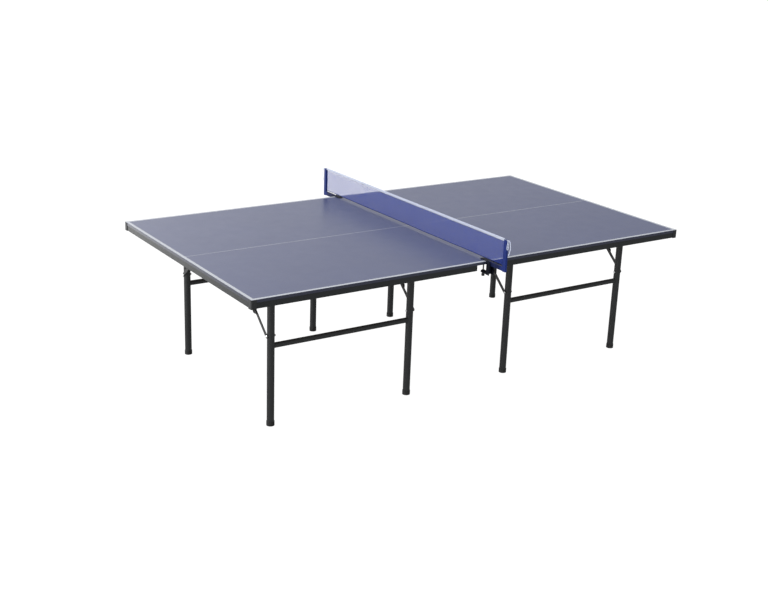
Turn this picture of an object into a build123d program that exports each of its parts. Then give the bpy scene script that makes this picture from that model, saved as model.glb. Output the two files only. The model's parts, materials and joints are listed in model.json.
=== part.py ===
from build123d import *
import math
import os

os.makedirs("parts", exist_ok=True)

# A table tennis table in two halves, on four folding H-shaped leg frames, with a clamp-on net.
# Millimetres. X runs along the table, Y across it and Z up. The origin is on the floor, under
# the middle of the table. "Near" is the -Y side and "left" is the -X side.

# Table halves
LENGTH = 2740
WIDTH = 1525
HEIGHT = 760
BOARD = 15
SEAM_GAP = 1.5
CORNER_RADIUS = 6
EDGE_ROUND = 1

# Steel rails under each half
RAIL_HEIGHT = 30
RAIL_DEPTH = 20
RAIL_WALL = 1.5
RAIL_INSET = 1
RAIL_START = 71
RAIL_END_GAP = 4

# Plastic corner guards
GUARD_REACH = 27
GUARD_WALL = 2
GUARD_LIP = 1.5
GUARD_LIP_WIDTH = 12
GUARD_DROP = 0.4

# Leg frames
LEG_RADIUS = 19
LEG_WALL = 1.2
LEG_BOTTOM = 4
LEG_TOP = 730
LEG_Y = 541
LEG_X_INNER = 305
LEG_X_OUTER = 1126
LEG_STAGGER = 24
HINGE_Z = 712
HINGE_PIN_RADIUS = 4
STRETCHER_RADIUS = 14
STRETCHER_Z = 424
FOOT_RADIUS = 21
FOOT_HEIGHT = 24

# Folding stays: one on the outer side of each leg
STAY_BOLT_Z = 476
STAY_PIVOT_Y = 256
STAY_PIVOT_Z = 726
STAY_PIN_RADIUS = 3
UPPER_WIDTH = 19
UPPER_PAST_JOINT = 30
UPPER_WALL = 2
UPPER_DEPTH = 6
LOWER_WIDTH = 18
LOWER_THICKNESS = 3
LOWER_OFFSET = 22
UPPER_OFFSET = 29.2

# Net, its posts and its clamps
NET_TOP = 912
NET_BOTTOM = 770
NET_HEM = 27
TAPE_HEIGHT = 15
MESH_THICKNESS = 2
TAPE_THICKNESS = 3
POST_INNER = 881
POST_OUTER = 905
POST_WIDTH = 13
POST_BOTTOM = 739
POST_TOP = 907
POST_WALL = 1.5
POST_ROUND = 2
ARM_BOTTOM = 741
ARM_TOP = 763
NET_END = POST_INNER - 1
CLAMP_WIDTH = 32
CLAMP_PLATE = 3
CLAMP_BACK = 767.5
CLAMP_REACH = 706
CLAMP_FLANGE = 790
LOWER_JAW_Z = 696
LOWER_JAW_RADIUS = 13
SCREW_Y = 722
SCREW_RADIUS = 4
KNOB_RADIUS = 8.5
CORD_RADIUS = 1.5

# Clearances
PIN_FIT = 0.05
FACE_GAP = 0.5

UNDERSIDE = HEIGHT - BOARD
RAIL_BOTTOM = UNDERSIDE - RAIL_HEIGHT
EDGE_X = LENGTH / 2
EDGE_Y = WIDTH / 2
HALVES = {"left": -1, "right": 1}
ROWS = {"near": -1, "far": 1}


def span(a, b):
    """Two bounds of one axis, in rising order."""
    return min(a, b), max(a, b)


def block(x, y, z):
    """A box between two bounds on each axis."""
    (x0, x1), (y0, y1), (z0, z1) = span(*x), span(*y), span(*z)
    return Pos((x0 + x1) / 2, (y0 + y1) / 2, (z0 + z1) / 2) * Box(x1 - x0, y1 - y0, z1 - z0)


def rod_x(x, y, z, radius):
    """A cylinder along X between two bounds."""
    x0, x1 = span(*x)
    return Pos((x0 + x1) / 2, y, z) * Rot(0, 90, 0) * Cylinder(radius, x1 - x0)


def rod_z(x, y, z, radius):
    """A cylinder along Z between two bounds."""
    z0, z1 = span(*z)
    return Pos(x, y, (z0 + z1) / 2) * Cylinder(radius, z1 - z0)


def hexagon_x(x, y, z, radius):
    """A hexagonal prism along X, such as a nut."""
    x0, x1 = span(*x)
    outline = Plane(origin=(x0, y, z), z_dir=(1, 0, 0)) * RegularPolygon(radius, 6)
    return extrude(outline, x1 - x0)


def dome_x(x, direction, y, z, radius, height):
    """A button head that starts at x and bulges along X in the given direction."""
    sphere = (radius**2 + height**2) / (2 * height)
    half_angle = math.asin(radius / sphere) / 2
    middle = (height - sphere + sphere * math.cos(half_angle), sphere * math.sin(half_angle))
    crown = ThreePointArc((0, radius), middle, (height, 0))
    outline = make_face([Line((0, 0), (0, radius)), crown, Line((height, 0), (0, 0))])
    head = revolve(outline, Axis.X)
    return Pos(x, y, z) * Rot(0, 0, 0 if direction > 0 else 180) * head


def save(name, *solids):
    """Writes one sub-part, which may be several separate solids."""
    bodies = [solid for shape in solids for solid in shape.solids()]
    export_step(Compound(children=bodies), f"parts/{name}.step")


def rotated(shapes, row):
    """The near side's pieces, or the same pieces turned half round for the far side."""
    return [shape if row < 0 else Rot(0, 0, 180) * shape for shape in shapes]


# Leg frames and stays -------------------------------------------------------------------------

BOLT_CLEARANCE = 0.3
TUBE_CLEARANCE = 0.1
BOLT_END = 7
BOLT_HEAD_RADIUS = 7
BOLT_HEAD_HEIGHT = 3
BOLT_NUT_RADIUS = 6.4
BOLT_NUT_HEIGHT = 5
BOLT_SPACER_RADIUS = 6
JOINT_RADIUS = 5
JOINT_HEAD_RADIUS = 6
JOINT_HEAD_HEIGHT = 2.5
JOINT_BUTTON = 1.6


def legs_of(half, row):
    """(X of the leg, direction of its stay side along X) for both legs of one frame."""
    stagger = LEG_STAGGER if row < 0 else -LEG_STAGGER
    inner = half * (LEG_X_INNER + stagger)
    outer = half * (LEG_X_OUTER + stagger)
    return [(inner, -half), (outer, half)]


def stay_lengths():
    """(upper, lower) link lengths: in line when the leg stands, folded flat when it is folded."""
    drop = HINGE_Z - STAY_BOLT_Z
    open_length = math.hypot(LEG_Y - STAY_PIVOT_Y, STAY_PIVOT_Z - STAY_BOLT_Z)
    closed_length = math.hypot(LEG_Y - drop - STAY_PIVOT_Y, STAY_PIVOT_Z - HINGE_Z)
    return (open_length + closed_length) / 2, (open_length - closed_length) / 2


UPPER_LENGTH, LOWER_LENGTH = stay_lengths()


def along_stay(row, distance):
    """(Y, Z) of the point at a distance from the table pivot towards the leg bolt."""
    whole = UPPER_LENGTH + LOWER_LENGTH
    share = distance / whole
    y = STAY_PIVOT_Y + (LEG_Y - STAY_PIVOT_Y) * share
    z = STAY_PIVOT_Z + (STAY_BOLT_Z - STAY_PIVOT_Z) * share
    return row * y, z


def link_plane(x, row, middle):
    """A plane across X with its own X along the stay and its origin at a point of the stay."""
    y, z = along_stay(row, middle)
    y_end, z_end = along_stay(row, middle + 1)
    return Plane(origin=(x, y, z), x_dir=(0, y_end - y, z_end - z), z_dir=(1, 0, 0))


def flat_link(x, row, start, end, width):
    """A flat bar with round ends, centred on its two pivots."""
    x0, x1 = span(*x)
    outline = link_plane(x0, row, (start + end) / 2) * SlotCenterToCenter(end - start, width)
    return extrude(outline, x1 - x0)


def upper_link(x, side, row):
    """A channel from the table bracket to a little past the middle joint, its lips outwards."""
    near_face = x + side * UPPER_OFFSET
    web = (near_face, near_face + side * UPPER_WALL)
    end = UPPER_LENGTH + UPPER_PAST_JOINT - UPPER_WIDTH / 2
    link = flat_link(web, row, 0, end, UPPER_WIDTH)
    lip_middle = near_face + side * UPPER_DEPTH / 2
    plane = link_plane(lip_middle, row, end / 2)
    for edge in (-1, 1):
        place = Pos(0, edge * (UPPER_WIDTH - UPPER_WALL) / 2, 0)
        link += plane * place * Box(end, UPPER_WALL, UPPER_DEPTH)
    for distance in (0, UPPER_LENGTH):
        y, z = along_stay(row, distance)
        link -= rod_x(web, y, z, STAY_PIN_RADIUS + PIN_FIT)
    return link


def lower_link(x, side, row):
    """A flat bar from the middle joint to the leg bolt."""
    near_face = x + side * LOWER_OFFSET
    faces = (near_face, near_face + side * LOWER_THICKNESS)
    link = flat_link(faces, row, UPPER_LENGTH, UPPER_LENGTH + LOWER_LENGTH, LOWER_WIDTH)
    link -= rod_x(faces, row * LEG_Y, STAY_BOLT_Z, STAY_PIN_RADIUS + PIN_FIT)
    joint_y, joint_z = along_stay(row, UPPER_LENGTH)
    button = (near_face - side * JOINT_BUTTON, near_face)
    return link + rod_x(button, joint_y, joint_z, JOINT_RADIUS)


def stay_rivet(x, side, row):
    """The middle joint's rivet, on the upper link; a spacer on it faces the lower link."""
    y, z = along_stay(row, UPPER_LENGTH)
    web = x + side * UPPER_OFFSET
    start = x + side * (LOWER_OFFSET + LOWER_THICKNESS + FACE_GAP)
    spacer = rod_x((start, web), y, z, JOINT_RADIUS)
    shank = rod_x((web, web + side * UPPER_WALL), y, z, STAY_PIN_RADIUS)
    head = dome_x(web + side * UPPER_WALL, side, y, z, JOINT_HEAD_RADIUS, JOINT_HEAD_HEIGHT)
    return spacer + shank + head


def leg_tube(x, row):
    """One leg, drilled across for its hinge pin and its stay bolt."""
    y = row * LEG_Y
    tube = rod_z(x, y, (LEG_BOTTOM, LEG_TOP), LEG_RADIUS)
    tube -= rod_z(x, y, (LEG_BOTTOM, LEG_TOP), LEG_RADIUS - LEG_WALL)
    across = (x - 2 * LEG_RADIUS, x + 2 * LEG_RADIUS)
    tube -= rod_x(across, y, HINGE_Z, HINGE_PIN_RADIUS + PIN_FIT)
    return tube - rod_x(across, y, STAY_BOLT_Z, STAY_PIN_RADIUS + PIN_FIT)


def foot(x, row):
    """A rubber cup that the leg's lower end stands in."""
    y = row * LEG_Y
    cup = fillet(rod_z(x, y, (0, FOOT_HEIGHT), FOOT_RADIUS).edges(), 1)
    return cup - rod_z(x, y, (LEG_BOTTOM, FOOT_HEIGHT + 1), LEG_RADIUS + PIN_FIT)


def stretcher(half, row):
    """The cross tube of an H frame, coped to both legs."""
    (inner, _), (outer, _) = legs_of(half, row)
    y = row * LEG_Y
    tube = rod_x((inner, outer), y, STRETCHER_Z, STRETCHER_RADIUS)
    tube -= rod_x((inner, outer), y, STRETCHER_Z, STRETCHER_RADIUS - LEG_WALL)
    for x in (inner, outer):
        tube -= rod_z(x, y, (0, HEIGHT), LEG_RADIUS + PIN_FIT)
    return tube


def stay_bolt(x, side, row):
    """A bolt through the leg, with a spacer under the lower link and a nut on the inner side."""
    y = row * LEG_Y
    link_face = x + side * (LOWER_OFFSET + LOWER_THICKNESS + BOLT_CLEARANCE)
    nut_face = x - side * (LEG_RADIUS + TUBE_CLEARANCE)
    shank = rod_x((nut_face - side * BOLT_END, link_face), y, STAY_BOLT_Z, STAY_PIN_RADIUS)
    head = dome_x(link_face, side, y, STAY_BOLT_Z, BOLT_HEAD_RADIUS, BOLT_HEAD_HEIGHT)
    nut = hexagon_x((nut_face, nut_face - side * BOLT_NUT_HEIGHT), y, STAY_BOLT_Z, BOLT_NUT_RADIUS)
    spacer_ends = (x + side * (LEG_RADIUS + TUBE_CLEARANCE), x + side * (LOWER_OFFSET - BOLT_CLEARANCE))
    spacer = rod_x(spacer_ends, y, STAY_BOLT_Z, BOLT_SPACER_RADIUS)
    return shank + head + nut + spacer


def make_leg_frame(name, half, row):
    legs = legs_of(half, row)
    save(f"{name}_legs", *[leg_tube(x, row) for x, _ in legs])
    save(f"{name}_stretcher", stretcher(half, row))
    save(f"{name}_feet", *[foot(x, row) for x, _ in legs])
    save(f"{name}_stay_bolts", *[stay_bolt(x, side, row) for x, side in legs])
    save(f"{name}_upper_stays", *[upper_link(x, side, row) for x, side in legs])
    save(f"{name}_stay_rivets", *[stay_rivet(x, side, row) for x, side in legs])
    save(f"{name}_lower_stays", *[lower_link(x, side, row) for x, side in legs])


# Brackets under the boards --------------------------------------------------------------------

BRACKET_PLATE = 2.5
EAR_GAP = 0.6
HINGE_PLATE_LENGTH = 90
HINGE_EAR_LENGTH = 40
HINGE_EAR_DROP = 12
HINGE_SCREW_X = 12
HINGE_SCREW_END = 9
HINGE_PIN_END = 8
HINGE_HEAD_RADIUS = 8
HINGE_HEAD_HEIGHT = 3.5
HINGE_NUT_RADIUS = 7.5
HINGE_NUT_HEIGHT = 6
STAY_PLATE_LENGTH = 44
STAY_PLATE_WIDTH = 26
STAY_EAR_RADIUS = 10
STAY_SCREW_X = 15
STAY_SCREW_Y = 14
RIVET_HEAD_RADIUS = 5.5
RIVET_HEAD_HEIGHT = 2.5
RIVET_GAP = 0.3
WOOD_SCREW_RADIUS = 2
WOOD_SCREW_DEPTH = 11
WOOD_HEAD_RADIUS = 4.2
WOOD_HEAD_HEIGHT = 2.2

every_leg = [
    (x, side, row)
    for half in HALVES.values()
    for row in ROWS.values()
    for x, side in legs_of(half, row)
]


def hinge_bracket(x, row):
    """A channel that holds the leg's upper end between two ears."""
    y = row * LEG_Y
    ear_face = LEG_RADIUS + EAR_GAP
    outside = ear_face + BRACKET_PLATE
    top = (UNDERSIDE - BRACKET_PLATE, UNDERSIDE)
    length = (y - HINGE_PLATE_LENGTH / 2, y + HINGE_PLATE_LENGTH / 2)
    bracket = block((x - outside, x + outside), length, top)
    for side in (-1, 1):
        faces = (x + side * ear_face, x + side * outside)
        ear_length = (y - HINGE_EAR_LENGTH / 2, y + HINGE_EAR_LENGTH / 2)
        bracket += block(faces, ear_length, (HINGE_Z, UNDERSIDE))
        bracket += rod_x(faces, y, HINGE_Z, HINGE_EAR_LENGTH / 2) & block(
            faces, ear_length, (HINGE_Z - HINGE_EAR_DROP, HINGE_Z)
        )
    bracket -= rod_x((x - outside, x + outside), y, HINGE_Z, HINGE_PIN_RADIUS + PIN_FIT)
    for screw_x, screw_y in hinge_screws(x, row):
        bracket -= rod_z(screw_x, screw_y, top, WOOD_SCREW_RADIUS + PIN_FIT)
    return bracket


def hinge_screws(x, row):
    """(X, Y) of the four wood screws of a hinge bracket."""
    return [
        (x + side * HINGE_SCREW_X, row * LEG_Y + end * (HINGE_PLATE_LENGTH / 2 - HINGE_SCREW_END))
        for side in (-1, 1)
        for end in (-1, 1)
    ]


def hinge_pin(x, side, row):
    """A bolt through both ears and the leg, with a nut on the inner side."""
    y = row * LEG_Y
    outside = LEG_RADIUS + EAR_GAP + BRACKET_PLATE
    head_face = x + side * outside
    nut_face = x - side * outside
    shank = rod_x((nut_face - side * HINGE_PIN_END, head_face), y, HINGE_Z, HINGE_PIN_RADIUS)
    head = dome_x(head_face, side, y, HINGE_Z, HINGE_HEAD_RADIUS, HINGE_HEAD_HEIGHT)
    nut = hexagon_x((nut_face, nut_face - side * HINGE_NUT_HEIGHT), y, HINGE_Z, HINGE_NUT_RADIUS)
    return shank + head + nut


def stay_bracket(x, side, row):
    """An angle under the board; its ear stands between the leg's line and the upper link."""
    y = row * STAY_PIVOT_Y
    ear_outer = x + side * (UPPER_OFFSET - FACE_GAP)
    ear_inner = ear_outer - side * BRACKET_PLATE
    top = (UNDERSIDE - BRACKET_PLATE, UNDERSIDE)
    along = (y - STAY_PLATE_LENGTH / 2, y + STAY_PLATE_LENGTH / 2)
    bracket = block((ear_outer, ear_outer - side * STAY_PLATE_WIDTH), along, top)
    ear_length = (y - STAY_EAR_RADIUS, y + STAY_EAR_RADIUS)
    bracket += block((ear_inner, ear_outer), ear_length, (STAY_PIVOT_Z, UNDERSIDE))
    bracket += rod_x((ear_inner, ear_outer), y, STAY_PIVOT_Z, STAY_EAR_RADIUS)
    bracket -= rod_x((ear_inner, ear_outer), y, STAY_PIVOT_Z, STAY_PIN_RADIUS + PIN_FIT)
    for screw_x, screw_y in stay_screws(x, side, row):
        bracket -= rod_z(screw_x, screw_y, top, WOOD_SCREW_RADIUS + PIN_FIT)
    return bracket


def stay_screws(x, side, row):
    """(X, Y) of the two wood screws of a stay bracket."""
    middle = x + side * (UPPER_OFFSET - FACE_GAP - STAY_SCREW_X)
    return [(middle, row * STAY_PIVOT_Y + end * STAY_SCREW_Y) for end in (-1, 1)]


def stay_pin(x, side, row):
    """The rivet that the upper link turns on, headed on both sides."""
    y = row * STAY_PIVOT_Y
    inner_face = x + side * (UPPER_OFFSET - FACE_GAP - BRACKET_PLATE)
    outer_face = x + side * (UPPER_OFFSET + UPPER_WALL + RIVET_GAP)
    shank = rod_x((inner_face, outer_face), y, STAY_PIVOT_Z, STAY_PIN_RADIUS)
    for face, direction in ((inner_face, -side), (outer_face, side)):
        shank += dome_x(face, direction, y, STAY_PIVOT_Z, RIVET_HEAD_RADIUS, RIVET_HEAD_HEIGHT)
    return shank


def wood_screw(x, y):
    """A pan-head screw up through a bracket into the board."""
    plate = UNDERSIDE - BRACKET_PLATE
    head = rod_z(x, y, (plate - WOOD_HEAD_HEIGHT, plate), WOOD_HEAD_RADIUS)
    head = fillet(head.edges().group_by(Axis.Z)[0], WOOD_HEAD_HEIGHT / 2)
    return head + rod_z(x, y, (plate, UNDERSIDE + WOOD_SCREW_DEPTH), WOOD_SCREW_RADIUS)


screw_places = [place for x, _, row in every_leg for place in hinge_screws(x, row)]
screw_places += [place for x, side, row in every_leg for place in stay_screws(x, side, row)]


def make_brackets():
    save("hinge_brackets", *[hinge_bracket(x, row) for x, _, row in every_leg])
    save("hinge_bolts", *[hinge_pin(x, side, row) for x, side, row in every_leg])
    save("stay_brackets", *[stay_bracket(x, side, row) for x, side, row in every_leg])
    save("stay_pivot_rivets", *[stay_pin(x, side, row) for x, side, row in every_leg])
    save("bracket_screws", *[wood_screw(x, y) for x, y in screw_places])


# Table halves ---------------------------------------------------------------------------------

JOINING_Y = 420
JOINING_LENGTH = 216
JOINING_WIDTH = 32
JOINING_PLATE = 3
JOINING_ROUND = 6
JOINING_BOLT_RADIUS = 3
JOINING_BOLT_X = RAIL_START + RAIL_DEPTH / 2
JOINING_BOLT_REACH = 12
JOINING_HEAD_RADIUS = 5.8
JOINING_HEAD_HEIGHT = 4


def board(half):
    """A playing half with softened edges, drilled underneath for the bracket screws."""
    wide = block((half * SEAM_GAP / 2, half * EDGE_X), (-EDGE_Y, EDGE_Y), (UNDERSIDE, HEIGHT))
    upright = wide.edges().filter_by(Axis.Z).sort_by(Axis.X)
    wide = fillet(upright[:2] if half < 0 else upright[-2:], CORNER_RADIUS)
    wide = fillet(wide.faces().sort_by(Axis.Z)[-1].edges(), EDGE_ROUND)
    for x, y in screw_places:
        if x * half > 0:
            wide -= rod_z(x, y, (UNDERSIDE, UNDERSIDE + WOOD_SCREW_DEPTH), WOOD_SCREW_RADIUS)
    return wide


def rail_section(plane):
    """A rounded rectangular tube's section, RAIL_DEPTH wide and RAIL_HEIGHT high."""
    outer = RectangleRounded(RAIL_DEPTH, RAIL_HEIGHT, 1.5)
    inner = Rectangle(RAIL_DEPTH - 2 * RAIL_WALL, RAIL_HEIGHT - 2 * RAIL_WALL)
    return plane * (outer - inner)


def side_rail(half, row):
    """A rail along the long edge; it stops short of the seam, which leaves room for the net clamp."""
    y = row * (EDGE_Y - RAIL_INSET - RAIL_DEPTH / 2)
    x0, x1 = span(half * RAIL_START, half * (EDGE_X - RAIL_END_GAP))
    plane = Plane(origin=(x0, y, RAIL_BOTTOM + RAIL_HEIGHT / 2), x_dir=(0, 1, 0), z_dir=(1, 0, 0))
    return extrude(rail_section(plane), x1 - x0)


def cross_rail(half, outside):
    """A rail across the half between its side rails; outside is its outer face's distance."""
    x = half * (outside - RAIL_DEPTH / 2)
    reach = EDGE_Y - RAIL_INSET - RAIL_DEPTH
    plane = Plane(origin=(x, reach, RAIL_BOTTOM + RAIL_HEIGHT / 2), x_dir=(1, 0, 0), z_dir=(0, -1, 0))
    return extrude(rail_section(plane), 2 * reach)


def corner_guard(half, row):
    """A plastic wrap round the corner of the board and its rails, with a lip below."""
    x_out = half * (EDGE_X + GUARD_WALL)
    y_out = row * (EDGE_Y + GUARD_WALL)
    x_in = half * (EDGE_X - GUARD_REACH)
    y_in = row * (EDGE_Y - GUARD_REACH)
    bottom = RAIL_BOTTOM - GUARD_LIP
    body = block((x_in, x_out), (y_in, y_out), (bottom, HEIGHT - GUARD_DROP))
    corner = body.edges().filter_by(Axis.Z).sort_by_distance((x_out, y_out, HEIGHT))[0]
    body = fillet(corner, CORNER_RADIUS + GUARD_WALL)
    room = block((0, half * EDGE_X), (0, row * EDGE_Y), (RAIL_BOTTOM, HEIGHT + 1))
    inner = room.edges().filter_by(Axis.Z).sort_by_distance((half * EDGE_X, row * EDGE_Y, HEIGHT))[0]
    body -= fillet(inner, CORNER_RADIUS)
    lip_x = (half * (EDGE_X - GUARD_LIP_WIDTH), x_in)
    lip_y = (row * (EDGE_Y - GUARD_LIP_WIDTH), y_in)
    return body - block(lip_x, lip_y, (bottom, RAIL_BOTTOM))


def joining_plate(row):
    """A flat bar under both inner rails that holds the halves together."""
    y = row * JOINING_Y
    plate = block(
        (-JOINING_LENGTH / 2, JOINING_LENGTH / 2),
        (y - JOINING_WIDTH / 2, y + JOINING_WIDTH / 2),
        (RAIL_BOTTOM - JOINING_PLATE, RAIL_BOTTOM),
    )
    plate = fillet(plate.edges().filter_by(Axis.Z), JOINING_ROUND)
    for half in HALVES.values():
        plate -= rod_z(half * JOINING_BOLT_X, y, (0, HEIGHT), JOINING_BOLT_RADIUS + PIN_FIT)
    return plate


def joining_bolt(half, row):
    """A bolt up through the joining plate into the rail's lower wall."""
    x = half * JOINING_BOLT_X
    y = row * JOINING_Y
    plate = RAIL_BOTTOM - JOINING_PLATE
    outline = Pos(x, y, plate - JOINING_HEAD_HEIGHT) * RegularPolygon(JOINING_HEAD_RADIUS, 6)
    head = extrude(outline, JOINING_HEAD_HEIGHT)
    return head + rod_z(x, y, (plate, RAIL_BOTTOM + JOINING_BOLT_REACH), JOINING_BOLT_RADIUS)


def make_tabletop():
    for name, half in HALVES.items():
        save(f"{name}_tabletop", board(half))
        save(f"{name}_side_rails", side_rail(half, -1), side_rail(half, 1))
        inner = cross_rail(half, RAIL_START + RAIL_DEPTH)
        for row in ROWS.values():
            hole = (RAIL_BOTTOM, RAIL_BOTTOM + RAIL_WALL)
            x = half * JOINING_BOLT_X
            inner -= rod_z(x, row * JOINING_Y, hole, JOINING_BOLT_RADIUS + PIN_FIT)
        save(f"{name}_cross_rails", inner, cross_rail(half, EDGE_X - RAIL_INSET))
    corners = [(half, row) for half in HALVES.values() for row in ROWS.values()]
    save("corner_guards", *[corner_guard(half, row) for half, row in corners])
    save("joining_plates", *[joining_plate(row) for row in ROWS.values()])
    save("joining_bolts", *[joining_bolt(half, row) for half, row in corners])


# Net set, drawn for the near end --------------------------------------------------------------

KNOB_BOTTOM = 670
KNOB_TOP = 682
KNOB_NECK = 3
KNOB_NECK_RADIUS = 6
KNOB_FLUTES = 6
FLUTE_RADIUS = 3.5
FLUTE_CENTRE = 10.8
PAD_RADIUS = 11
PAD_NECK_RADIUS = 6.5
PAD_BOTTOM = 738
PAD_NECK = 5
PAD_GAP = 0.1
SOCKET_DEPTH = 3
SLOT_WIDTH = 7.2
SLOT_DEPTH = 5
JAW_CORNER = 10
JAW_DEPTH = 6
JAW_WALL = 2
NUT_RADIUS = 7.5
NUT_HEIGHT = 5
FLANGE_INNER = CLAMP_WIDTH / 2 - JAW_WALL


def net_post():
    """A box-section post, and the channel-shaped arm that carries it.

    A slot along the post's top holds the cords that come out of the net's tape.
    """
    outside = (-POST_WIDTH / 2, POST_WIDTH / 2)
    inside = (POST_WALL - POST_WIDTH / 2, POST_WIDTH / 2 - POST_WALL)
    post = block(outside, (-POST_OUTER, -POST_INNER), (POST_BOTTOM, POST_TOP))
    post = fillet(post.edges().filter_by(Axis.Z), POST_ROUND)
    arm = block(outside, (-POST_INNER - POST_ROUND, -CLAMP_BACK), (ARM_BOTTOM, ARM_TOP))
    arm -= block(inside, (-POST_INNER, -CLAMP_BACK), (ARM_BOTTOM, ARM_TOP - POST_WALL))
    hollow = (POST_WALL - POST_OUTER, -POST_INNER - POST_WALL)
    post = post + arm - block(inside, hollow, (POST_BOTTOM, POST_TOP - POST_WALL))
    slot = (-SLOT_WIDTH / 2, SLOT_WIDTH / 2)
    return post - block(slot, (-POST_OUTER, -POST_INNER), (POST_TOP - SLOT_DEPTH, POST_TOP))


def clamp_bracket():
    """A bent steel bracket over the table's edge, with a welded nut in its lower jaw."""
    side = CLAMP_WIDTH / 2
    back = (-CLAMP_BACK, CLAMP_PLATE - CLAMP_BACK)
    jaw = block((-side, side), (-CLAMP_REACH, -CLAMP_BACK), (HEIGHT, HEIGHT + CLAMP_PLATE))
    inner_corners = jaw.edges().filter_by(Axis.Z).sort_by(Axis.Y)[-2:]
    bracket = fillet(inner_corners, JAW_CORNER)
    jaw_bottom = LOWER_JAW_Z - JAW_DEPTH
    bracket += block((-side, side), back, (jaw_bottom, HEIGHT + CLAMP_PLATE))
    for edge in (-1, 1):
        flange = (edge * FLANGE_INNER, edge * side)
        bracket += block(flange, (-CLAMP_FLANGE, -CLAMP_BACK), (jaw_bottom, ARM_TOP))
    jaw_top = LOWER_JAW_Z + CLAMP_PLATE
    lower_length = (-SCREW_Y, back[1])
    lower = block((-LOWER_JAW_RADIUS, LOWER_JAW_RADIUS), lower_length, (jaw_bottom, jaw_top))
    lower += rod_z(0, -SCREW_Y, (jaw_bottom, jaw_top), LOWER_JAW_RADIUS)
    hollow = LOWER_JAW_RADIUS - JAW_WALL
    lower -= block((-hollow, hollow), lower_length, (jaw_bottom, LOWER_JAW_Z))
    lower -= rod_z(0, -SCREW_Y, (jaw_bottom, LOWER_JAW_Z), hollow)
    nut = Pos(0, -SCREW_Y, jaw_top) * extrude(RegularPolygon(NUT_RADIUS, 6), NUT_HEIGHT)
    bore = rod_z(0, -SCREW_Y, (jaw_bottom, jaw_top + NUT_HEIGHT), SCREW_RADIUS + PIN_FIT)
    return bracket + lower + nut - bore


def clamp_pad():
    """The swivel pad on the screw's tip, which presses on the board from below."""
    pad = rod_z(0, -SCREW_Y, (PAD_BOTTOM, UNDERSIDE - PAD_GAP), PAD_RADIUS)
    pad = fillet(pad.edges(), 1)
    neck_bottom = PAD_BOTTOM - PAD_NECK
    pad += rod_z(0, -SCREW_Y, (neck_bottom, PAD_BOTTOM), PAD_NECK_RADIUS)
    return pad - rod_z(0, -SCREW_Y, (neck_bottom, PAD_BOTTOM + SOCKET_DEPTH), SCREW_RADIUS + PIN_FIT)


def clamp_screw():
    """The screw, from inside the knob to just short of the end of the pad's socket."""
    ends = (KNOB_BOTTOM + KNOB_NECK, PAD_BOTTOM + SOCKET_DEPTH - FACE_GAP)
    return rod_z(0, -SCREW_Y, ends, SCREW_RADIUS)


def clamp_knob():
    """A fluted knob with a short neck."""
    knob = fillet(rod_z(0, -SCREW_Y, (KNOB_BOTTOM, KNOB_TOP), KNOB_RADIUS).edges(), 1.5)
    for flute in range(KNOB_FLUTES):
        angle = math.radians(360 * flute / KNOB_FLUTES)
        x = FLUTE_CENTRE * math.cos(angle)
        y = FLUTE_CENTRE * math.sin(angle) - SCREW_Y
        knob -= rod_z(x, y, (KNOB_BOTTOM, KNOB_TOP), FLUTE_RADIUS)
    knob += rod_z(0, -SCREW_Y, (KNOB_TOP, KNOB_TOP + KNOB_NECK), KNOB_NECK_RADIUS)
    return knob - rod_z(0, -SCREW_Y, (KNOB_BOTTOM + KNOB_NECK, KNOB_TOP + KNOB_NECK), SCREW_RADIUS)


# The points that each cord tail goes through, from the slot in the post's top: one is doubled
# back against the post's outer face, and the other hangs free.
TAIL_ROUTES = {
    "tight": [
        (-1.8, -880.5, 904.3),
        (-1.8, -885.3, 904),
        (-1.8, -890.3, 903.9),
        (-1.8, -895.3, 904),
        (-1.8, -899.9, 904.3),
        (-1.8, -903.8, 904.9),
        (-1.9, -907, 905),
        (-2.2, -909.2, 902.6),
        (-2.8, -909.6, 898.6),
        (-3.7, -909.2, 890),
        (-5.3, -908.6, 876),
        (-6, -908.2, 866),
        (-5.8, -908.1, 860.8),
        (-3.5, -908.1, 858.5),
        (-0.1, -908.1, 858.5),
        (2.2, -908.1, 860.8),
        (2.4, -908.2, 866),
        (2.1, -908.6, 876),
        (1.6, -909.2, 886),
        (1.1, -909.9, 894),
    ],
    "loose": [
        (1.8, -880.5, 904.3),
        (1.8, -885.3, 904),
        (1.8, -890.3, 903.9),
        (1.8, -895.3, 904),
        (1.8, -899.9, 904.3),
        (1.9, -903.8, 905),
        (2.2, -907.4, 905.7),
        (4.2, -911.4, 904.8),
        (6.2, -915, 899),
        (7.5, -918, 889),
        (8.2, -919.4, 873),
        (7.7, -918.6, 857),
        (6, -916, 841),
        (3.9, -912.8, 828),
    ],
}


def tube_along(points):
    """A round cord through the points, with every corner as round as its runs allow."""
    radii = []
    for a, b, c in zip(points, points[1:], points[2:]):
        into, out = Vector(*b) - Vector(*a), Vector(*c) - Vector(*b)
        turn = math.radians(into.get_angle(out))
        radii.append(0.45 * min(into.length, out.length) / math.tan(turn / 2))
    path = FilletPolyline(*points, radius=radii)
    start = Plane(origin=path @ 0, z_dir=path % 0)
    cord = sweep(start * Circle(CORD_RADIUS), path=path)
    expected = math.pi * CORD_RADIUS**2 * path.length
    print("cord length", round(path.length, 1), "volume share", round(cord.volume / expected, 3))
    print("  radii", [round(radius, 1) for radius in radii])
    return cord


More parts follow.
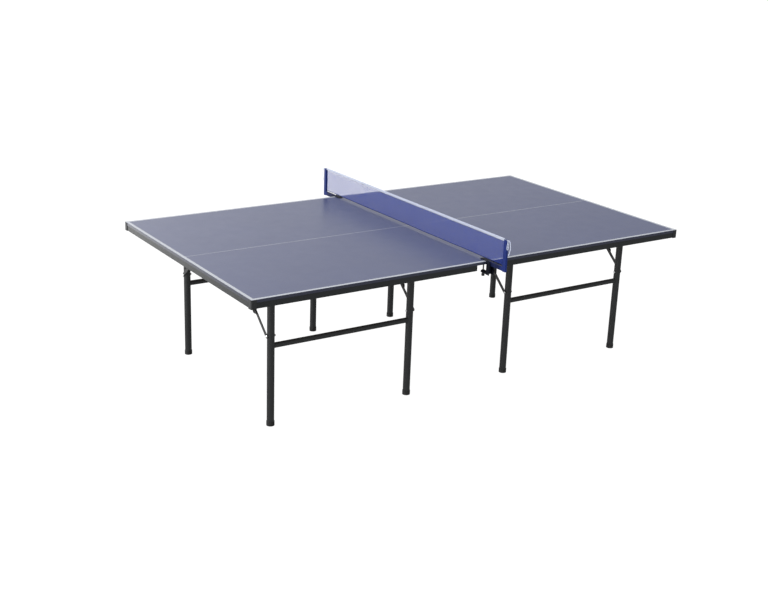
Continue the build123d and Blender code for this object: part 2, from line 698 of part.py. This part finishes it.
def make_net_set():
    mesh_end = NET_END - NET_HEM
    tape_bottom = NET_TOP - TAPE_HEIGHT
    thin = (-MESH_THICKNESS / 2, MESH_THICKNESS / 2)
    thick = (-TAPE_THICKNESS / 2, TAPE_THICKNESS / 2)
    below_tape = (NET_BOTTOM, tape_bottom)
    save("net_mesh", block(thin, (-mesh_end, mesh_end), below_tape))
    save("net_top_tape", block(thick, (-NET_END, NET_END), (tape_bottom, NET_TOP)))
    hem_lengths = [(row * mesh_end, row * NET_END) for row in ROWS.values()]
    save("net_side_hems", *[block(thick, length, below_tape) for length in hem_lengths])
    for name, row in ROWS.items():
        save(f"{name}_net_post", *rotated([net_post()], row))
        save(f"{name}_clamp_bracket", *rotated([clamp_bracket()], row))
        save(f"{name}_clamp_pad", *rotated([clamp_pad()], row))
        save(f"{name}_clamp_screw", *rotated([clamp_screw()], row))
        save(f"{name}_clamp_knob", *rotated([clamp_knob()], row))
        for tail, points in TAIL_ROUTES.items():
            save(f"{name}_{tail}_cord_tail", *rotated([tube_along(points)], row))


make_tabletop()
make_brackets()
for half_name, half in HALVES.items():
    for row_name, row in ROWS.items():
        make_leg_frame(f"{half_name}_{row_name}", half, row)
make_net_set()
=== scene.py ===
"""A folding table tennis table: materials, net, cords and small details around the CAD frame.

Lengths are in metres.
"""

import json
import math
import random

import bmesh
import bpy
from mathutils import Matrix, Vector


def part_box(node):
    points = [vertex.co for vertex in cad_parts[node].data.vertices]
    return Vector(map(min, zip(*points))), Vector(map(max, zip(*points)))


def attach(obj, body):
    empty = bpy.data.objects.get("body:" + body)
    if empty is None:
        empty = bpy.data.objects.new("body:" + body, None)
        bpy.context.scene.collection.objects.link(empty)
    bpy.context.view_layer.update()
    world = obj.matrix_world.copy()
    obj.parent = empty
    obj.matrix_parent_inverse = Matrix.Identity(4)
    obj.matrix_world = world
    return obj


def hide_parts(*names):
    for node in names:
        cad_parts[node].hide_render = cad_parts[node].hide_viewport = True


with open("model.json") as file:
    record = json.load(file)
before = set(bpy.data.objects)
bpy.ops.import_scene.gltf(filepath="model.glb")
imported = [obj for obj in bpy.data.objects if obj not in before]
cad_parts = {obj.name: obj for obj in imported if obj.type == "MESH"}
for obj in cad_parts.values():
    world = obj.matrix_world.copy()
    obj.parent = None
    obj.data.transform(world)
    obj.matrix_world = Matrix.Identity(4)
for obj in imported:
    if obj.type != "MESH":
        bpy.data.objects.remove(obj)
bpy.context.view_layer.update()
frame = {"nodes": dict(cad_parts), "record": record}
nodes = frame["nodes"]
TABLE = "table"
ROWS = {"near": -1, "far": 1}
HALVES = {"left": -1, "right": 1}

# Pieces and meshes ----------------------------------------------------------------------------


def new_object(name, data):
    """Links a mesh or curve as a piece of the object that rides on the table."""
    piece = bpy.data.objects.new(name, data)
    bpy.context.scene.collection.objects.link(piece)
    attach(piece, TABLE)
    return piece


def mesh_piece(name, build, material, smooth=False):
    """A piece of the table whose mesh the build function fills in a bmesh."""
    bm = bmesh.new()
    build(bm)
    bmesh.ops.recalc_face_normals(bm, faces=bm.faces)
    data = bpy.data.meshes.new(name)
    bm.to_mesh(data)
    bm.free()
    for face in data.polygons:
        face.use_smooth = smooth
    data.materials.append(material)
    return new_object(name, data)


def join_rings(bm, rings):
    """Walls between each ring of vertices and the next, and a cap at both ends."""
    for ring, following in zip(rings, rings[1:]):
        for k in range(len(ring)):
            j = (k + 1) % len(ring)
            bm.faces.new((ring[k], ring[j], following[j], following[k]))
    bm.faces.new(rings[0][::-1])
    bm.faces.new(rings[-1])


def add_prism(bm, outline, low, high):
    """A flat outline of (x, y) points, extruded between two heights."""
    join_rings(bm, [[bm.verts.new((x, y, z)) for x, y in outline] for z in (low, high)])


def add_tube(bm, points, radius, sides, across):
    """A closed tube along points, whose rings all start in one direction across it."""
    turns = [2 * math.pi * k / sides for k in range(sides)]
    rings = []
    for i, point in enumerate(points):
        before = points[max(i - 1, 0)]
        after = points[min(i + 1, len(points) - 1)]
        along = (after - before).normalized()
        u = (across - along * across.dot(along)).normalized()
        v = along.cross(u)
        rings.append([bm.verts.new(point + radius * (math.cos(t) * u + math.sin(t) * v)) for t in turns])
    join_rings(bm, rings)


def add_knot(bm, centre, radius):
    """A small bead with eight faces, for a knot in the net."""
    axes = (Vector((radius, 0, 0)), Vector((0, radius, 0)), Vector((0, 0, radius)))
    tips = [[bm.verts.new(centre + sign * axis) for sign in (-1, 1)] for axis in axes]
    for i in (0, 1):
        for j in (0, 1):
            for k in (0, 1):
                bm.faces.new((tips[0][i], tips[1][j], tips[2][k]))


def spread_between(start, end, pitch):
    """Places from start to end, as near to the pitch as an even spacing allows."""
    count = max(1, round(abs(end - start) / pitch))
    return [start + (end - start) * i / count for i in range(count + 1)]


def every(step, values):
    """Every step-th value, and the last one."""
    return values[:-1:step] + values[-1:]


# Shader nodes ---------------------------------------------------------------------------------

# At scale 1, the wave texture turns by this many radians for each unit along its axis.
WAVE_RADIANS = 20
# The places of a Mix node's factor, its two colours and its mixed colour.
MIX_FACTOR = 0
MIX_COLOURS = (6, 7)
MIX_RESULT = 2


def math_node(tree, operation, *values):
    """A math node whose inputs are each a number or another node's output."""
    made = tree.nodes.new("ShaderNodeMath")
    made.operation = operation
    for socket, value in zip(made.inputs, values):
        if isinstance(value, (int, float)):
            socket.default_value = value
        else:
            tree.links.new(value, socket)
    return made.outputs["Value"]


def ramp(tree, value, start, end, low, high, kind="SMOOTHSTEP"):
    """A climb from low to high while the value goes from start to end."""
    remap = tree.nodes.new("ShaderNodeMapRange")
    remap.interpolation_type = kind
    for socket, number in zip(("From Min", "From Max", "To Min", "To Max"), (start, end, low, high)):
        remap.inputs[socket].default_value = number
    tree.links.new(value, remap.inputs["Value"])
    return remap.outputs["Result"]


class Shader:
    """A Principled material with a few procedural parts."""

    def __init__(self, name, colour, roughness, **sockets):
        self.material = bpy.data.materials.new(name)
        self.material.use_nodes = True
        self.tree = self.material.node_tree
        self.surface = self.tree.nodes["Principled BSDF"]
        self.surface.inputs["Base Color"].default_value = (*colour, 1)
        self.surface.inputs["Roughness"].default_value = roughness
        for socket, value in sockets.items():
            self.surface.inputs[socket.replace("_", " ")].default_value = value
        self.colour = colour
        self.roughness = roughness
        self.place = self.node("ShaderNodeTexCoord").outputs["Object"]

    def node(self, kind, **values):
        """A new node with some of its settings."""
        made = self.tree.nodes.new(kind)
        for name, value in values.items():
            setattr(made, name, value)
        return made

    def link(self, output, socket):
        """Feeds a node's output into another node's socket."""
        self.tree.links.new(output, socket)

    def stretched(self, scale):
        """The place on the object, scaled along each axis."""
        mapping = self.node("ShaderNodeMapping")
        mapping.inputs["Scale"].default_value = scale
        self.link(self.place, mapping.inputs["Vector"])
        return mapping.outputs["Vector"]

    def noise(self, scale, detail, stretch=(1, 1, 1)):
        """Cloudy noise, finer with a larger scale and rougher with more detail."""
        texture = self.node("ShaderNodeTexNoise")
        texture.inputs["Scale"].default_value = scale
        texture.inputs["Detail"].default_value = detail
        self.link(self.stretched(stretch), texture.inputs["Vector"])
        return texture.outputs["Fac"]

    def wave(self, scale, direction):
        """Soft parallel bands."""
        texture = self.node("ShaderNodeTexWave", wave_type="BANDS", bands_direction=direction)
        texture.inputs["Scale"].default_value = scale
        self.link(self.place, texture.inputs["Vector"])
        return texture.outputs["Fac"]

    def bands(self, period, axis):
        """Soft bands along an axis, which repeat after a period in metres."""
        return self.wave(2 * math.pi / (WAVE_RADIANS * period), axis)

    def component(self, vector, axis):
        """One of the three numbers of a vector."""
        split = self.node("ShaderNodeSeparateXYZ")
        self.link(vector, split.inputs["Vector"])
        return split.outputs[axis]

    def maths(self, operation, *values):
        """One step of arithmetic on numbers and outputs."""
        return math_node(self.tree, operation, *values)

    def mixed(self, factor, first, second):
        """A colour between two, each a colour or another output."""
        mix = self.node("ShaderNodeMix", data_type="RGBA")
        self.link(factor, mix.inputs[MIX_FACTOR])
        for place, value in zip(MIX_COLOURS, (first, second)):
            if isinstance(value, tuple):
                mix.inputs[place].default_value = (*value, 1)
            else:
                self.link(value, mix.inputs[place])
        return mix.outputs[MIX_RESULT]

    def tint(self, factor, amount):
        """The base colour, from darker to lighter by an amount."""
        dark = tuple(c * (1 - amount) for c in self.colour)
        light = tuple(min(1, c * (1 + amount)) for c in self.colour)
        return self.mixed(factor, dark, light)

    def paint(self, colour):
        """Makes another output the base colour."""
        self.link(colour, self.surface.inputs["Base Color"])

    def rough(self, value, spread):
        """Varies the roughness by a spread either way."""
        low, high = self.roughness - spread, self.roughness + spread
        self.link(ramp(self.tree, value, 0, 1, low, high, "LINEAR"), self.surface.inputs["Roughness"])

    def bump(self, height, distance, strength):
        """Raises the surface, by a distance in metres, where the height is larger."""
        bump = self.node("ShaderNodeBump")
        bump.inputs["Distance"].default_value = distance
        bump.inputs["Strength"].default_value = strength
        self.link(height, bump.inputs["Height"])
        self.link(bump.outputs["Normal"], self.surface.inputs["Normal"])


# Materials ------------------------------------------------------------------------------------

POST_DEPTH = 0.024
ARM_FADE = 0.03
POST_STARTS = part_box("far_net_post")[1].y - POST_DEPTH
ARM_NAVY = (0.009, 0.013, 0.050)
# The clamp screws have an M8 thread.
SCREW_PITCH = 0.00125
SCREW_BUMP = 0.0006
WEAVE_PERIOD = 0.002192
BRAID_SCALE = 220
# How far the normal has to point down, or up, to be a board's bare or painted face.
UNDERSIDE = -0.5
TOP_SIDE = 0.6


def darker(colour, share):
    """A share of a colour."""
    return tuple(c * share for c in colour)


def orange_peel(coat):
    """The fine orange peel of powder coat, with slight unevenness of gloss."""
    coat.rough(coat.noise(35, 3), 0.07)
    coat.bump(coat.noise(900, 2), 0.0002, 0.5)


def powder_coat(name, colour, roughness, specular=0.5):
    """Powder coat of one colour, a little cloudy."""
    coat = Shader(name, colour, roughness, Specular_IOR_Level=specular)
    coat.paint(coat.tint(coat.noise(9, 4), 0.16))
    orange_peel(coat)
    return coat.material


def post_paint():
    """The posts' blue, which is mixed to a darker navy along the arm, away from the post."""
    coat = Shader("post_coat", (0.013, 0.024, 0.125), 0.5, Specular_IOR_Level=0.1)
    from_middle = coat.maths("ABSOLUTE", coat.component(coat.place, "Y"))
    towards_post = ramp(coat.tree, from_middle, POST_STARTS - ARM_FADE, POST_STARTS, 0, 1, "LINEAR")
    coat.paint(coat.mixed(towards_post, ARM_NAVY, coat.tint(coat.noise(9, 4), 0.16)))
    orange_peel(coat)
    return coat.material


def plated(name, colour, roughness):
    """Bright zinc plate: cloudy, with faint scratches."""
    zinc = Shader(name, colour, roughness, Metallic=1.0)
    zinc.paint(zinc.tint(zinc.noise(160, 4), 0.12))
    zinc.rough(zinc.noise(420, 3), 0.1)
    zinc.bump(zinc.noise(1400, 2, (1, 1, 0.2)), 0.0001, 0.4)
    return zinc.material


def threaded(name, colour, roughness):
    """Zinc plate on an upright screw, with the turns of its thread, and painted shade in its grooves."""
    rod = Shader(name, colour, roughness, Metallic=1.0)
    turns = rod.bands(SCREW_PITCH, "Z")
    # Painted shade: the zinc is darker down in the grooves between the turns.
    rod.paint(rod.mixed(turns, darker(colour, 0.55), colour))
    rod.rough(rod.noise(420, 3), 0.1)
    rod.bump(turns, SCREW_BUMP, 0.9)
    return rod.material


def moulded(name, colour, roughness):
    """Moulded plastic or rubber with a fine grain."""
    plastic = Shader(name, colour, roughness)
    plastic.paint(plastic.tint(plastic.noise(60, 4), 0.2))
    plastic.rough(plastic.noise(240, 3), 0.08)
    plastic.bump(plastic.noise(1600, 2), 0.00025, 0.6)
    return plastic.material


def woven(name, colour, roughness):
    """Tape woven of crossing threads, along the net and up it."""
    cloth = Shader(name, colour, roughness, Specular_IOR_Level=0.25)
    weave = cloth.maths("MULTIPLY", cloth.bands(WEAVE_PERIOD, "Y"), cloth.bands(WEAVE_PERIOD, "Z"))
    cloth.paint(cloth.mixed(weave, darker(colour, 0.82), colour))
    cloth.rough(cloth.noise(90, 3), 0.06)
    cloth.bump(weave, 0.0003, 0.7)
    return cloth.material


def tabletop_paint():
    """Slate-blue table paint on top, the darker banded edge on the sides, bare board below."""
    top = Shader("tabletop_paint", (0.036, 0.048, 0.122), 0.3, IOR=1.5)
    upwards = top.component(top.node("ShaderNodeNewGeometry").outputs["Normal"], "Z")
    mottled = top.tint(top.noise(2.5, 5), 0.07)
    edge = top.mixed(top.noise(40, 3), (0.022, 0.024, 0.040), (0.030, 0.033, 0.052))
    fibres = top.mixed(top.noise(220, 5), (0.16, 0.10, 0.055), (0.27, 0.18, 0.10))
    sides = top.mixed(top.maths("LESS_THAN", upwards, UNDERSIDE), edge, fibres)
    top.paint(top.mixed(top.maths("GREATER_THAN", upwards, TOP_SIDE), sides, mottled))
    top.rough(top.noise(14, 4), 0.04)
    top.bump(top.noise(700, 3), 0.00025, 0.35)
    return top.material


def line_paint():
    """The white screen-printed lines, slightly uneven at the scale of the paint film."""
    line = Shader("line_paint", (0.37, 0.39, 0.43), 0.42)
    line.paint(line.tint(line.noise(55, 4), 0.05))
    line.rough(line.noise(200, 3), 0.05)
    line.bump(line.noise(900, 2), 0.00015, 0.4)
    return line.material


def net_thread(name, colour):
    """Twisted polyester thread."""
    thread = Shader(name, colour, 0.7, Specular_IOR_Level=0.08)
    thread.paint(thread.tint(thread.noise(450, 3), 0.22))
    thread.bump(thread.noise(2600, 2), 0.0003, 0.7)
    return thread.material


def braided_cord():
    """White braided cord: slanting strands, broken up by a fine noise."""
    cord = Shader("braided_cord", (0.70, 0.75, 0.90), 0.75, Specular_IOR_Level=0.3)
    braid = cord.maths("MULTIPLY", cord.wave(BRAID_SCALE, "DIAGONAL"), cord.noise(1500, 2))
    cord.paint(cord.mixed(braid, (0.58, 0.63, 0.78), (0.76, 0.81, 0.94)))
    cord.bump(braid, 0.0004, 0.8)
    return cord.material


THREAD = net_thread("net_thread", (0.018, 0.045, 0.30))
EDGING = net_thread("net_edging", (0.010, 0.018, 0.085))
LINE_PAINT = line_paint()
CLAMP_THREAD = threaded("clamp_thread", (0.72, 0.73, 0.74), 0.35)
MATERIALS = {
    "tabletop_blue": tabletop_paint(),
    "rail_black": powder_coat("rail_coat", (0.012, 0.0135, 0.0145), 0.42),
    "leg_black": powder_coat("leg_coat", (0.018, 0.019, 0.020), 0.38),
    "bracket_black": powder_coat("bracket_coat", (0.026, 0.026, 0.027), 0.45),
    "clamp_black": powder_coat("clamp_coat", (0.006, 0.007, 0.014), 0.6, 0.12),
    "post_blue": post_paint(),
    "guard_black": moulded("guard_plastic", (0.016, 0.017, 0.018), 0.5),
    "knob_black": moulded("knob_plastic", (0.014, 0.014, 0.015), 0.45),
    "foot_rubber": moulded("foot_rubber", (0.012, 0.012, 0.012), 0.7),
    "pad_black": moulded("pad_rubber", (0.014, 0.014, 0.014), 0.75),
    "zinc": plated("zinc_plate", (0.82, 0.83, 0.84), 0.42),
    "net_blue": THREAD,
    "hem_blue": THREAD,
    "tape_white": woven("top_tape", (0.44, 0.47, 0.57), 0.8),
    "cord_white": braided_cord(),
}


def paint_frame():
    """Gives each CAD node the material of its slot, and the clamp screws their thread."""
    for part in frame["record"]["subparts"]:
        name = part["node"]
        is_screw = name.endswith("_clamp_screw")
        materials = nodes[name].data.materials
        materials.clear()
        materials.append(CLAMP_THREAD if is_screw else MATERIALS[part["material_slot"]])


paint_frame()

# Painted lines --------------------------------------------------------------------------------

BORDER = 0.017
CENTRE_LINE = 0.003
LINE_FILM = 0.0002
EDGE_ROUND = 0.001
CORNER = 0.005
CORNER_TURNS = [math.radians(angle) for angle in range(0, 91, 15)]


def border_outline(half, seam, end, side):
    """The three-sided white border of one half, round the two outer corners."""
    outline = [(seam, -side)]
    for sign, turns in ((-1, CORNER_TURNS[::-1]), (1, CORNER_TURNS)):
        centre_x = end - half * CORNER
        centre_y = sign * (side - CORNER)
        for turn in turns:
            x = centre_x + half * CORNER * math.cos(turn)
            outline.append((x, centre_y + sign * CORNER * math.sin(turn)))
    inner_x = end - half * BORDER
    inner_y = side - BORDER
    outline += [(seam, side), (seam, inner_y), (inner_x, inner_y), (inner_x, -inner_y), (seam, -inner_y)]
    return outline


def centre_outline(half, seam, end):
    """The thin centre line of one half, from the seam to the end's border."""
    near, far = -CENTRE_LINE / 2, CENTRE_LINE / 2
    stop = end - half * BORDER
    return [(seam, near), (stop, near), (stop, far), (seam, far)]


def add_painted_lines(name, half):
    """The lines of one half, as a film on the flat of its top, inside the rounded edges."""
    low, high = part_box(f"{name}_tabletop")
    inner, outer = (low.x, high.x) if half > 0 else (high.x, low.x)
    seam = inner + half * EDGE_ROUND
    end = outer - half * EDGE_ROUND
    side = high.y - EDGE_ROUND

    def build(bm):
        for outline in (border_outline(half, seam, end, side), centre_outline(half, seam, end)):
            add_prism(bm, outline, high.z - LINE_FILM, high.z + LINE_FILM)

    mesh_piece(f"{name}_painted_lines", build, LINE_PAINT)


for name, half in HALVES.items():
    add_painted_lines(name, half)

# The net --------------------------------------------------------------------------------------

PITCH = 0.0052
STRAND = 0.0006
STRAND_SIDES = 6
KNOT = 0.00097
EDGE_CORD = 0.0017
EDGE_CORD_SIDES = 8
EDGE_CORD_STEP = 0.02
HEM_CORD_STEP = 0.01
# A strand bends at every second column, or at every third row, of the mesh.
COLUMNS_PER_BEND = 2
ROWS_PER_BEND = 3
BILLOW = 0.0012
# (height in billows, radians a metre, phase) of the waves along the net
BILLOW_WAVES = ((1.0, 9.3, 0.7), (0.6, 23.1, 2.1))
BILLOW_FADE = 0.1

mesh_low, mesh_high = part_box("net_mesh")
tape_low, tape_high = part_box("net_top_tape")
ACROSS = Vector((1, 0, 0))


def net_point(y, z):
    """A point of the hanging net: it is tight at its top and ends, and waves a little between."""
    slack = (mesh_high.z - z) / (mesh_high.z - mesh_low.z)
    wave = sum(height * math.sin(rate * y + phase) for height, rate, phase in BILLOW_WAVES)
    inward = min(1, (mesh_high.y - abs(y)) / BILLOW_FADE)
    return Vector((BILLOW * slack * wave * max(0, inward), y, z))


def add_strand(bm, points):
    """One strand of the mesh."""
    add_tube(bm, points, STRAND, STRAND_SIDES, ACROSS)


def add_edge_cord(bm, points):
    """A stretch of the thicker cord round the net's edge."""
    add_tube(bm, points, EDGE_CORD, EDGE_CORD_SIDES, ACROSS)


def add_mesh_panel(bm, y_start, y_end, joined=False):
    """Crossing strands with a knot at each crossing, between two places along the net.

    A panel that is joined to another has no upright strand of its own where it starts.
    """
    columns = spread_between(y_start, y_end, PITCH)
    rows = spread_between(mesh_low.z, mesh_high.z, PITCH)
    for z in rows[1:-1]:
        add_strand(bm, [net_point(y, z) for y in every(COLUMNS_PER_BEND, columns)])
    for y in columns[1:] if joined else columns:
        add_strand(bm, [net_point(y, z) for z in every(ROWS_PER_BEND, rows)])
        for z in rows[1:-1]:
            add_knot(bm, net_point(y, z), KNOT)


def paint_after(bm, first):
    """Gives the faces made after a count the piece's second material."""
    bm.faces.ensure_lookup_table()
    for face in bm.faces[first:]:
        face.material_index = 1


def build_net(bm):
    """The open mesh and the cord along its lower edge."""
    add_mesh_panel(bm, mesh_low.y, mesh_high.y)
    panel_faces = len(bm.faces)
    low = mesh_low.z + EDGE_CORD
    lower_edge = spread_between(mesh_low.y, mesh_high.y, EDGE_CORD_STEP)
    add_edge_cord(bm, [net_point(y, low) for y in lower_edge])
    paint_after(bm, panel_faces)


def build_hems(bm):
    """The net's two end bands: the same mesh, with a cord round the outer and lower edges."""
    for sign in (-1, 1):
        inner = sign * mesh_high.y
        outer = sign * (tape_high.y - EDGE_CORD)
        add_mesh_panel(bm, inner, outer, joined=True)
        panel_faces = len(bm.faces)
        low = mesh_low.z + EDGE_CORD
        add_edge_cord(bm, [Vector((0, y, low)) for y in spread_between(inner, outer, HEM_CORD_STEP)])
        add_edge_cord(bm, [Vector((0, outer, z)) for z in spread_between(low, mesh_high.z, HEM_CORD_STEP)])
        paint_after(bm, panel_faces)


TAPE_STEP = 0.01
TAPE_HALF_WIDTH = 0.0014
TAPE_WIDTH_SPREAD = 0.0001
TAPE_WAVE = 0.0004
TAPE_WAVE_RATE = 17
TAPE_SAG_SPREAD = 0.0002
TAPE_SEED = 4


def tape_profile(half_width, lower, upper):
    """The section of the folded tape: nearly flat sides, pinched low down, and a round top."""
    side = [
        (half_width * 0.8, lower),
        (half_width * 0.75, lower + 0.004),
        (half_width, upper - 0.004),
        (half_width * 0.9, upper - 0.0015),
        (half_width * 0.45, upper - 0.0002),
    ]
    return side + [(-x, z) for x, z in reversed(side)]


def build_top_tape(bm):
    """The white tape folded over the net's top cord, a little uneven along its lower edges."""
    drawn = random.Random(TAPE_SEED)
    rings = []
    for y in spread_between(tape_low.y, tape_high.y, TAPE_STEP):
        sag = TAPE_WAVE * math.sin(TAPE_WAVE_RATE * y) + drawn.uniform(-TAPE_SAG_SPREAD, TAPE_SAG_SPREAD)
        half_width = TAPE_HALF_WIDTH + drawn.uniform(-TAPE_WIDTH_SPREAD, TAPE_WIDTH_SPREAD)
        profile = tape_profile(half_width, tape_low.z + sag, tape_high.z)
        rings.append([bm.verts.new((x, y, z)) for x, z in profile])
    join_rings(bm, rings)


net = mesh_piece("net_strands", build_net, MATERIALS["net_blue"])
net.data.materials.append(EDGING)
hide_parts("net_mesh")

tape = mesh_piece("net_tape", build_top_tape, MATERIALS["tape_white"], smooth=True)
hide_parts("net_top_tape")

hems = mesh_piece("net_hems", build_hems, MATERIALS["hem_blue"])
hems.data.materials.append(EDGING)
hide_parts("net_side_hems")

# Cord tails -----------------------------------------------------------------------------------

CORD_DIAMETER = 0.003
# The points of each free cord tail's route at the near post, which a smooth curve follows.
TAIL_ROUTES = {
    "tight": [
        (-0.0018, -0.8805, 0.9043),
        (-0.0018, -0.8853, 0.9040),
        (-0.0018, -0.8903, 0.9039),
        (-0.0018, -0.8953, 0.9040),
        (-0.0018, -0.8999, 0.9043),
        (-0.0018, -0.9038, 0.9049),
        (-0.0019, -0.9070, 0.9050),
        (-0.0022, -0.9092, 0.9026),
        (-0.0028, -0.9096, 0.8986),
        (-0.0037, -0.9092, 0.8900),
        (-0.0053, -0.9086, 0.8760),
        (-0.0060, -0.9082, 0.8660),
        (-0.0058, -0.9081, 0.8608),
        (-0.0035, -0.9081, 0.8585),
        (-0.0001, -0.9081, 0.8585),
        (0.0022, -0.9081, 0.8608),
        (0.0024, -0.9082, 0.8660),
        (0.0021, -0.9086, 0.8760),
        (0.0016, -0.9092, 0.8860),
        (0.0011, -0.9099, 0.8940),
    ],
    "loose": [
        (0.0018, -0.8805, 0.9043),
        (0.0018, -0.8853, 0.9040),
        (0.0018, -0.8903, 0.9039),
        (0.0018, -0.8953, 0.9040),
        (0.0018, -0.8999, 0.9043),
        (0.0019, -0.9038, 0.9050),
        (0.0022, -0.9074, 0.9057),
        (0.0042, -0.9114, 0.9048),
        (0.0062, -0.9150, 0.8990),
        (0.0075, -0.9180, 0.8890),
        (0.0082, -0.9194, 0.8730),
        (0.0077, -0.9186, 0.8570),
        (0.0060, -0.9160, 0.8410),
        (0.0039, -0.9128, 0.8280),
    ],
}


def cord_curve(name, route):
    """A round cord with closed ends, smoothly along a route."""
    curve = bpy.data.curves.new(name, "CURVE")
    curve.dimensions = "3D"
    curve.bevel_depth = CORD_DIAMETER / 2
    curve.bevel_resolution = 5
    curve.resolution_u = 12
    curve.use_fill_caps = True
    spline = curve.splines.new("NURBS")
    spline.points.add(len(route) - 1)
    for point, place in zip(spline.points, route):
        point.co = (*place, 1)
    spline.order_u = 3
    spline.use_endpoint_u = True
    curve.materials.append(MATERIALS["cord_white"])
    return curve


def add_cord_tail(row_name, row, tail, points):
    """One free tail of the net's tension cord, out of the slot in the post's top."""
    turn = Matrix.Rotation(0 if row < 0 else math.pi, 4, "Z")
    route = [turn @ Vector(point) for point in points]
    name = f"{row_name}_{tail}_cord"
    cord = new_object(name, cord_curve(name, route))
    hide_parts(f"{name}_tail")


for row_name, row in ROWS.items():
    for tail, points in TAIL_ROUTES.items():
        add_cord_tail(row_name, row, tail, points)

# Stage: camera, floor and light ---------------------------------------------------------------

CAMERA_PLACE = (-3.771, -5.429, 2.558)
# degrees
CAMERA_YAW = 56.16
CAMERA_PITCH = -18.63
CAMERA_ROLL = 2.1
# millimetres
CAMERA_LENS = 56.625
CAMERA_SENSOR = 36


def add_camera():
    """The camera stands off the near left side, well above the table, slightly rolled."""
    yaw = math.radians(CAMERA_YAW)
    pitch = math.radians(CAMERA_PITCH)
    roll = math.radians(CAMERA_ROLL)
    ahead = Vector((math.cos(yaw) * math.cos(pitch), math.sin(yaw) * math.cos(pitch), math.sin(pitch)))
    level = Vector((math.sin(yaw), -math.cos(yaw), 0))
    above = level.cross(ahead)
    right = math.cos(roll) * level + math.sin(roll) * above
    up = right.cross(ahead)
    data = bpy.data.cameras.new("camera")
    data.sensor_fit = "HORIZONTAL"
    data.sensor_width = CAMERA_SENSOR
    data.lens = CAMERA_LENS
    camera = bpy.data.objects.new("camera", data)
    bpy.context.scene.collection.objects.link(camera)
    turn = Matrix((right, up, -ahead)).transposed().to_4x4()
    camera.matrix_world = Matrix.Translation(CAMERA_PLACE) @ turn
    bpy.context.scene.camera = camera


WHITE = (1, 1, 1, 1)
FLOOR_REACH = 30
FLOOR_PAINT = (0.04, 0.04, 0.04, 1)
# The light grows along these directions: over the floor, and round the sky.
FLOOR_LIGHT = (-0.80, 0.55, 0)
SKY_LIGHT = (-0.80, 0.55, 0.22)
# (start, end, dim, bright) along those directions: metres for the floor, a cosine for the sky
FLOOR_RAMP = (2.25, 3.8, 0.20, 2.15)
WORLD_RAMP = (-0.6, 0.2, 0.2, 0.92)
WINDOW_RAMP = (0.1, 0.6, 0.0, 1.4)


def along(tree, place, direction):
    """The dot product of a place or a direction with a fixed vector."""
    dot = tree.nodes.new("ShaderNodeVectorMath")
    dot.operation = "DOT_PRODUCT"
    tree.links.new(place, dot.inputs[0])
    dot.inputs[1].default_value = direction
    return dot.outputs["Value"]


def white_to_the_eye(tree, lit):
    """Plain white where it is seen straight on, and the given strength where it lights things."""
    seen = tree.nodes.new("ShaderNodeLightPath").outputs["Is Camera Ray"]
    unseen = math_node(tree, "SUBTRACT", 1.0, seen)
    return math_node(tree, "ADD", seen, math_node(tree, "MULTIPLY", unseen, lit))


def add_floor():
    """A glowing white sweep, brighter to the far left, as a studio floor lit from there."""
    low, high = -FLOOR_REACH, FLOOR_REACH
    corners = [(low, low, 0), (high, low, 0), (high, high, 0), (low, high, 0)]
    data = bpy.data.meshes.new("floor")
    data.from_pydata(corners, [], [(0, 1, 2, 3)])
    floor = bpy.data.objects.new("floor", data)
    bpy.context.scene.collection.objects.link(floor)
    pale = bpy.data.materials.new("floor_paint")
    pale.use_nodes = True
    tree = pale.node_tree
    surface = tree.nodes["Principled BSDF"]
    surface.inputs["Base Color"].default_value = FLOOR_PAINT
    surface.inputs["Roughness"].default_value = 1.0
    surface.inputs["Emission Color"].default_value = WHITE
    place = tree.nodes.new("ShaderNodeNewGeometry").outputs["Position"]
    lit = ramp(tree, along(tree, place, FLOOR_LIGHT), *FLOOR_RAMP)
    tree.links.new(white_to_the_eye(tree, lit), surface.inputs["Emission Strength"])
    data.materials.append(pale)


def add_area_light(name, place, target, size, power, glossy=True):
    """A rectangular lamp that points at a target, and may be left out of reflections."""
    data = bpy.data.lights.new(name, "AREA")
    data.shape = "RECTANGLE"
    data.size, data.size_y = size
    data.energy = power
    light = bpy.data.objects.new(name, data)
    bpy.context.scene.collection.objects.link(light)
    light.visible_glossy = glossy
    light.location = place
    light.rotation_euler = (Vector(target) - Vector(place)).to_track_quat("-Z", "Y").to_euler()


def add_world():
    """White behind everything; as a light, bright to the far left and dim to the near right."""
    world = bpy.data.worlds.new("studio")
    bpy.context.scene.world = world
    world.use_nodes = True
    tree = world.node_tree
    background = tree.nodes["Background"]
    background.inputs["Color"].default_value = WHITE
    direction = tree.nodes.new("ShaderNodeTexCoord").outputs["Generated"]
    place = along(tree, direction, SKY_LIGHT)
    lit = math_node(tree, "ADD", ramp(tree, place, *WORLD_RAMP), ramp(tree, place, *WINDOW_RAMP))
    tree.links.new(white_to_the_eye(tree, lit), background.inputs["Strength"])


add_camera()
add_floor()
add_world()
add_area_light("left_softbox", place=(-6, 2.5, 3.2), target=(-0.5, 0, 0.6), size=(3.5, 2.5), power=160)
add_area_light(
    "front_fill", place=(0.5, -7, 1.4), target=(0.2, -0.8, 0.7), size=(4, 2), power=220, glossy=False
)
bpy.context.scene.view_settings.view_transform = "Standard"
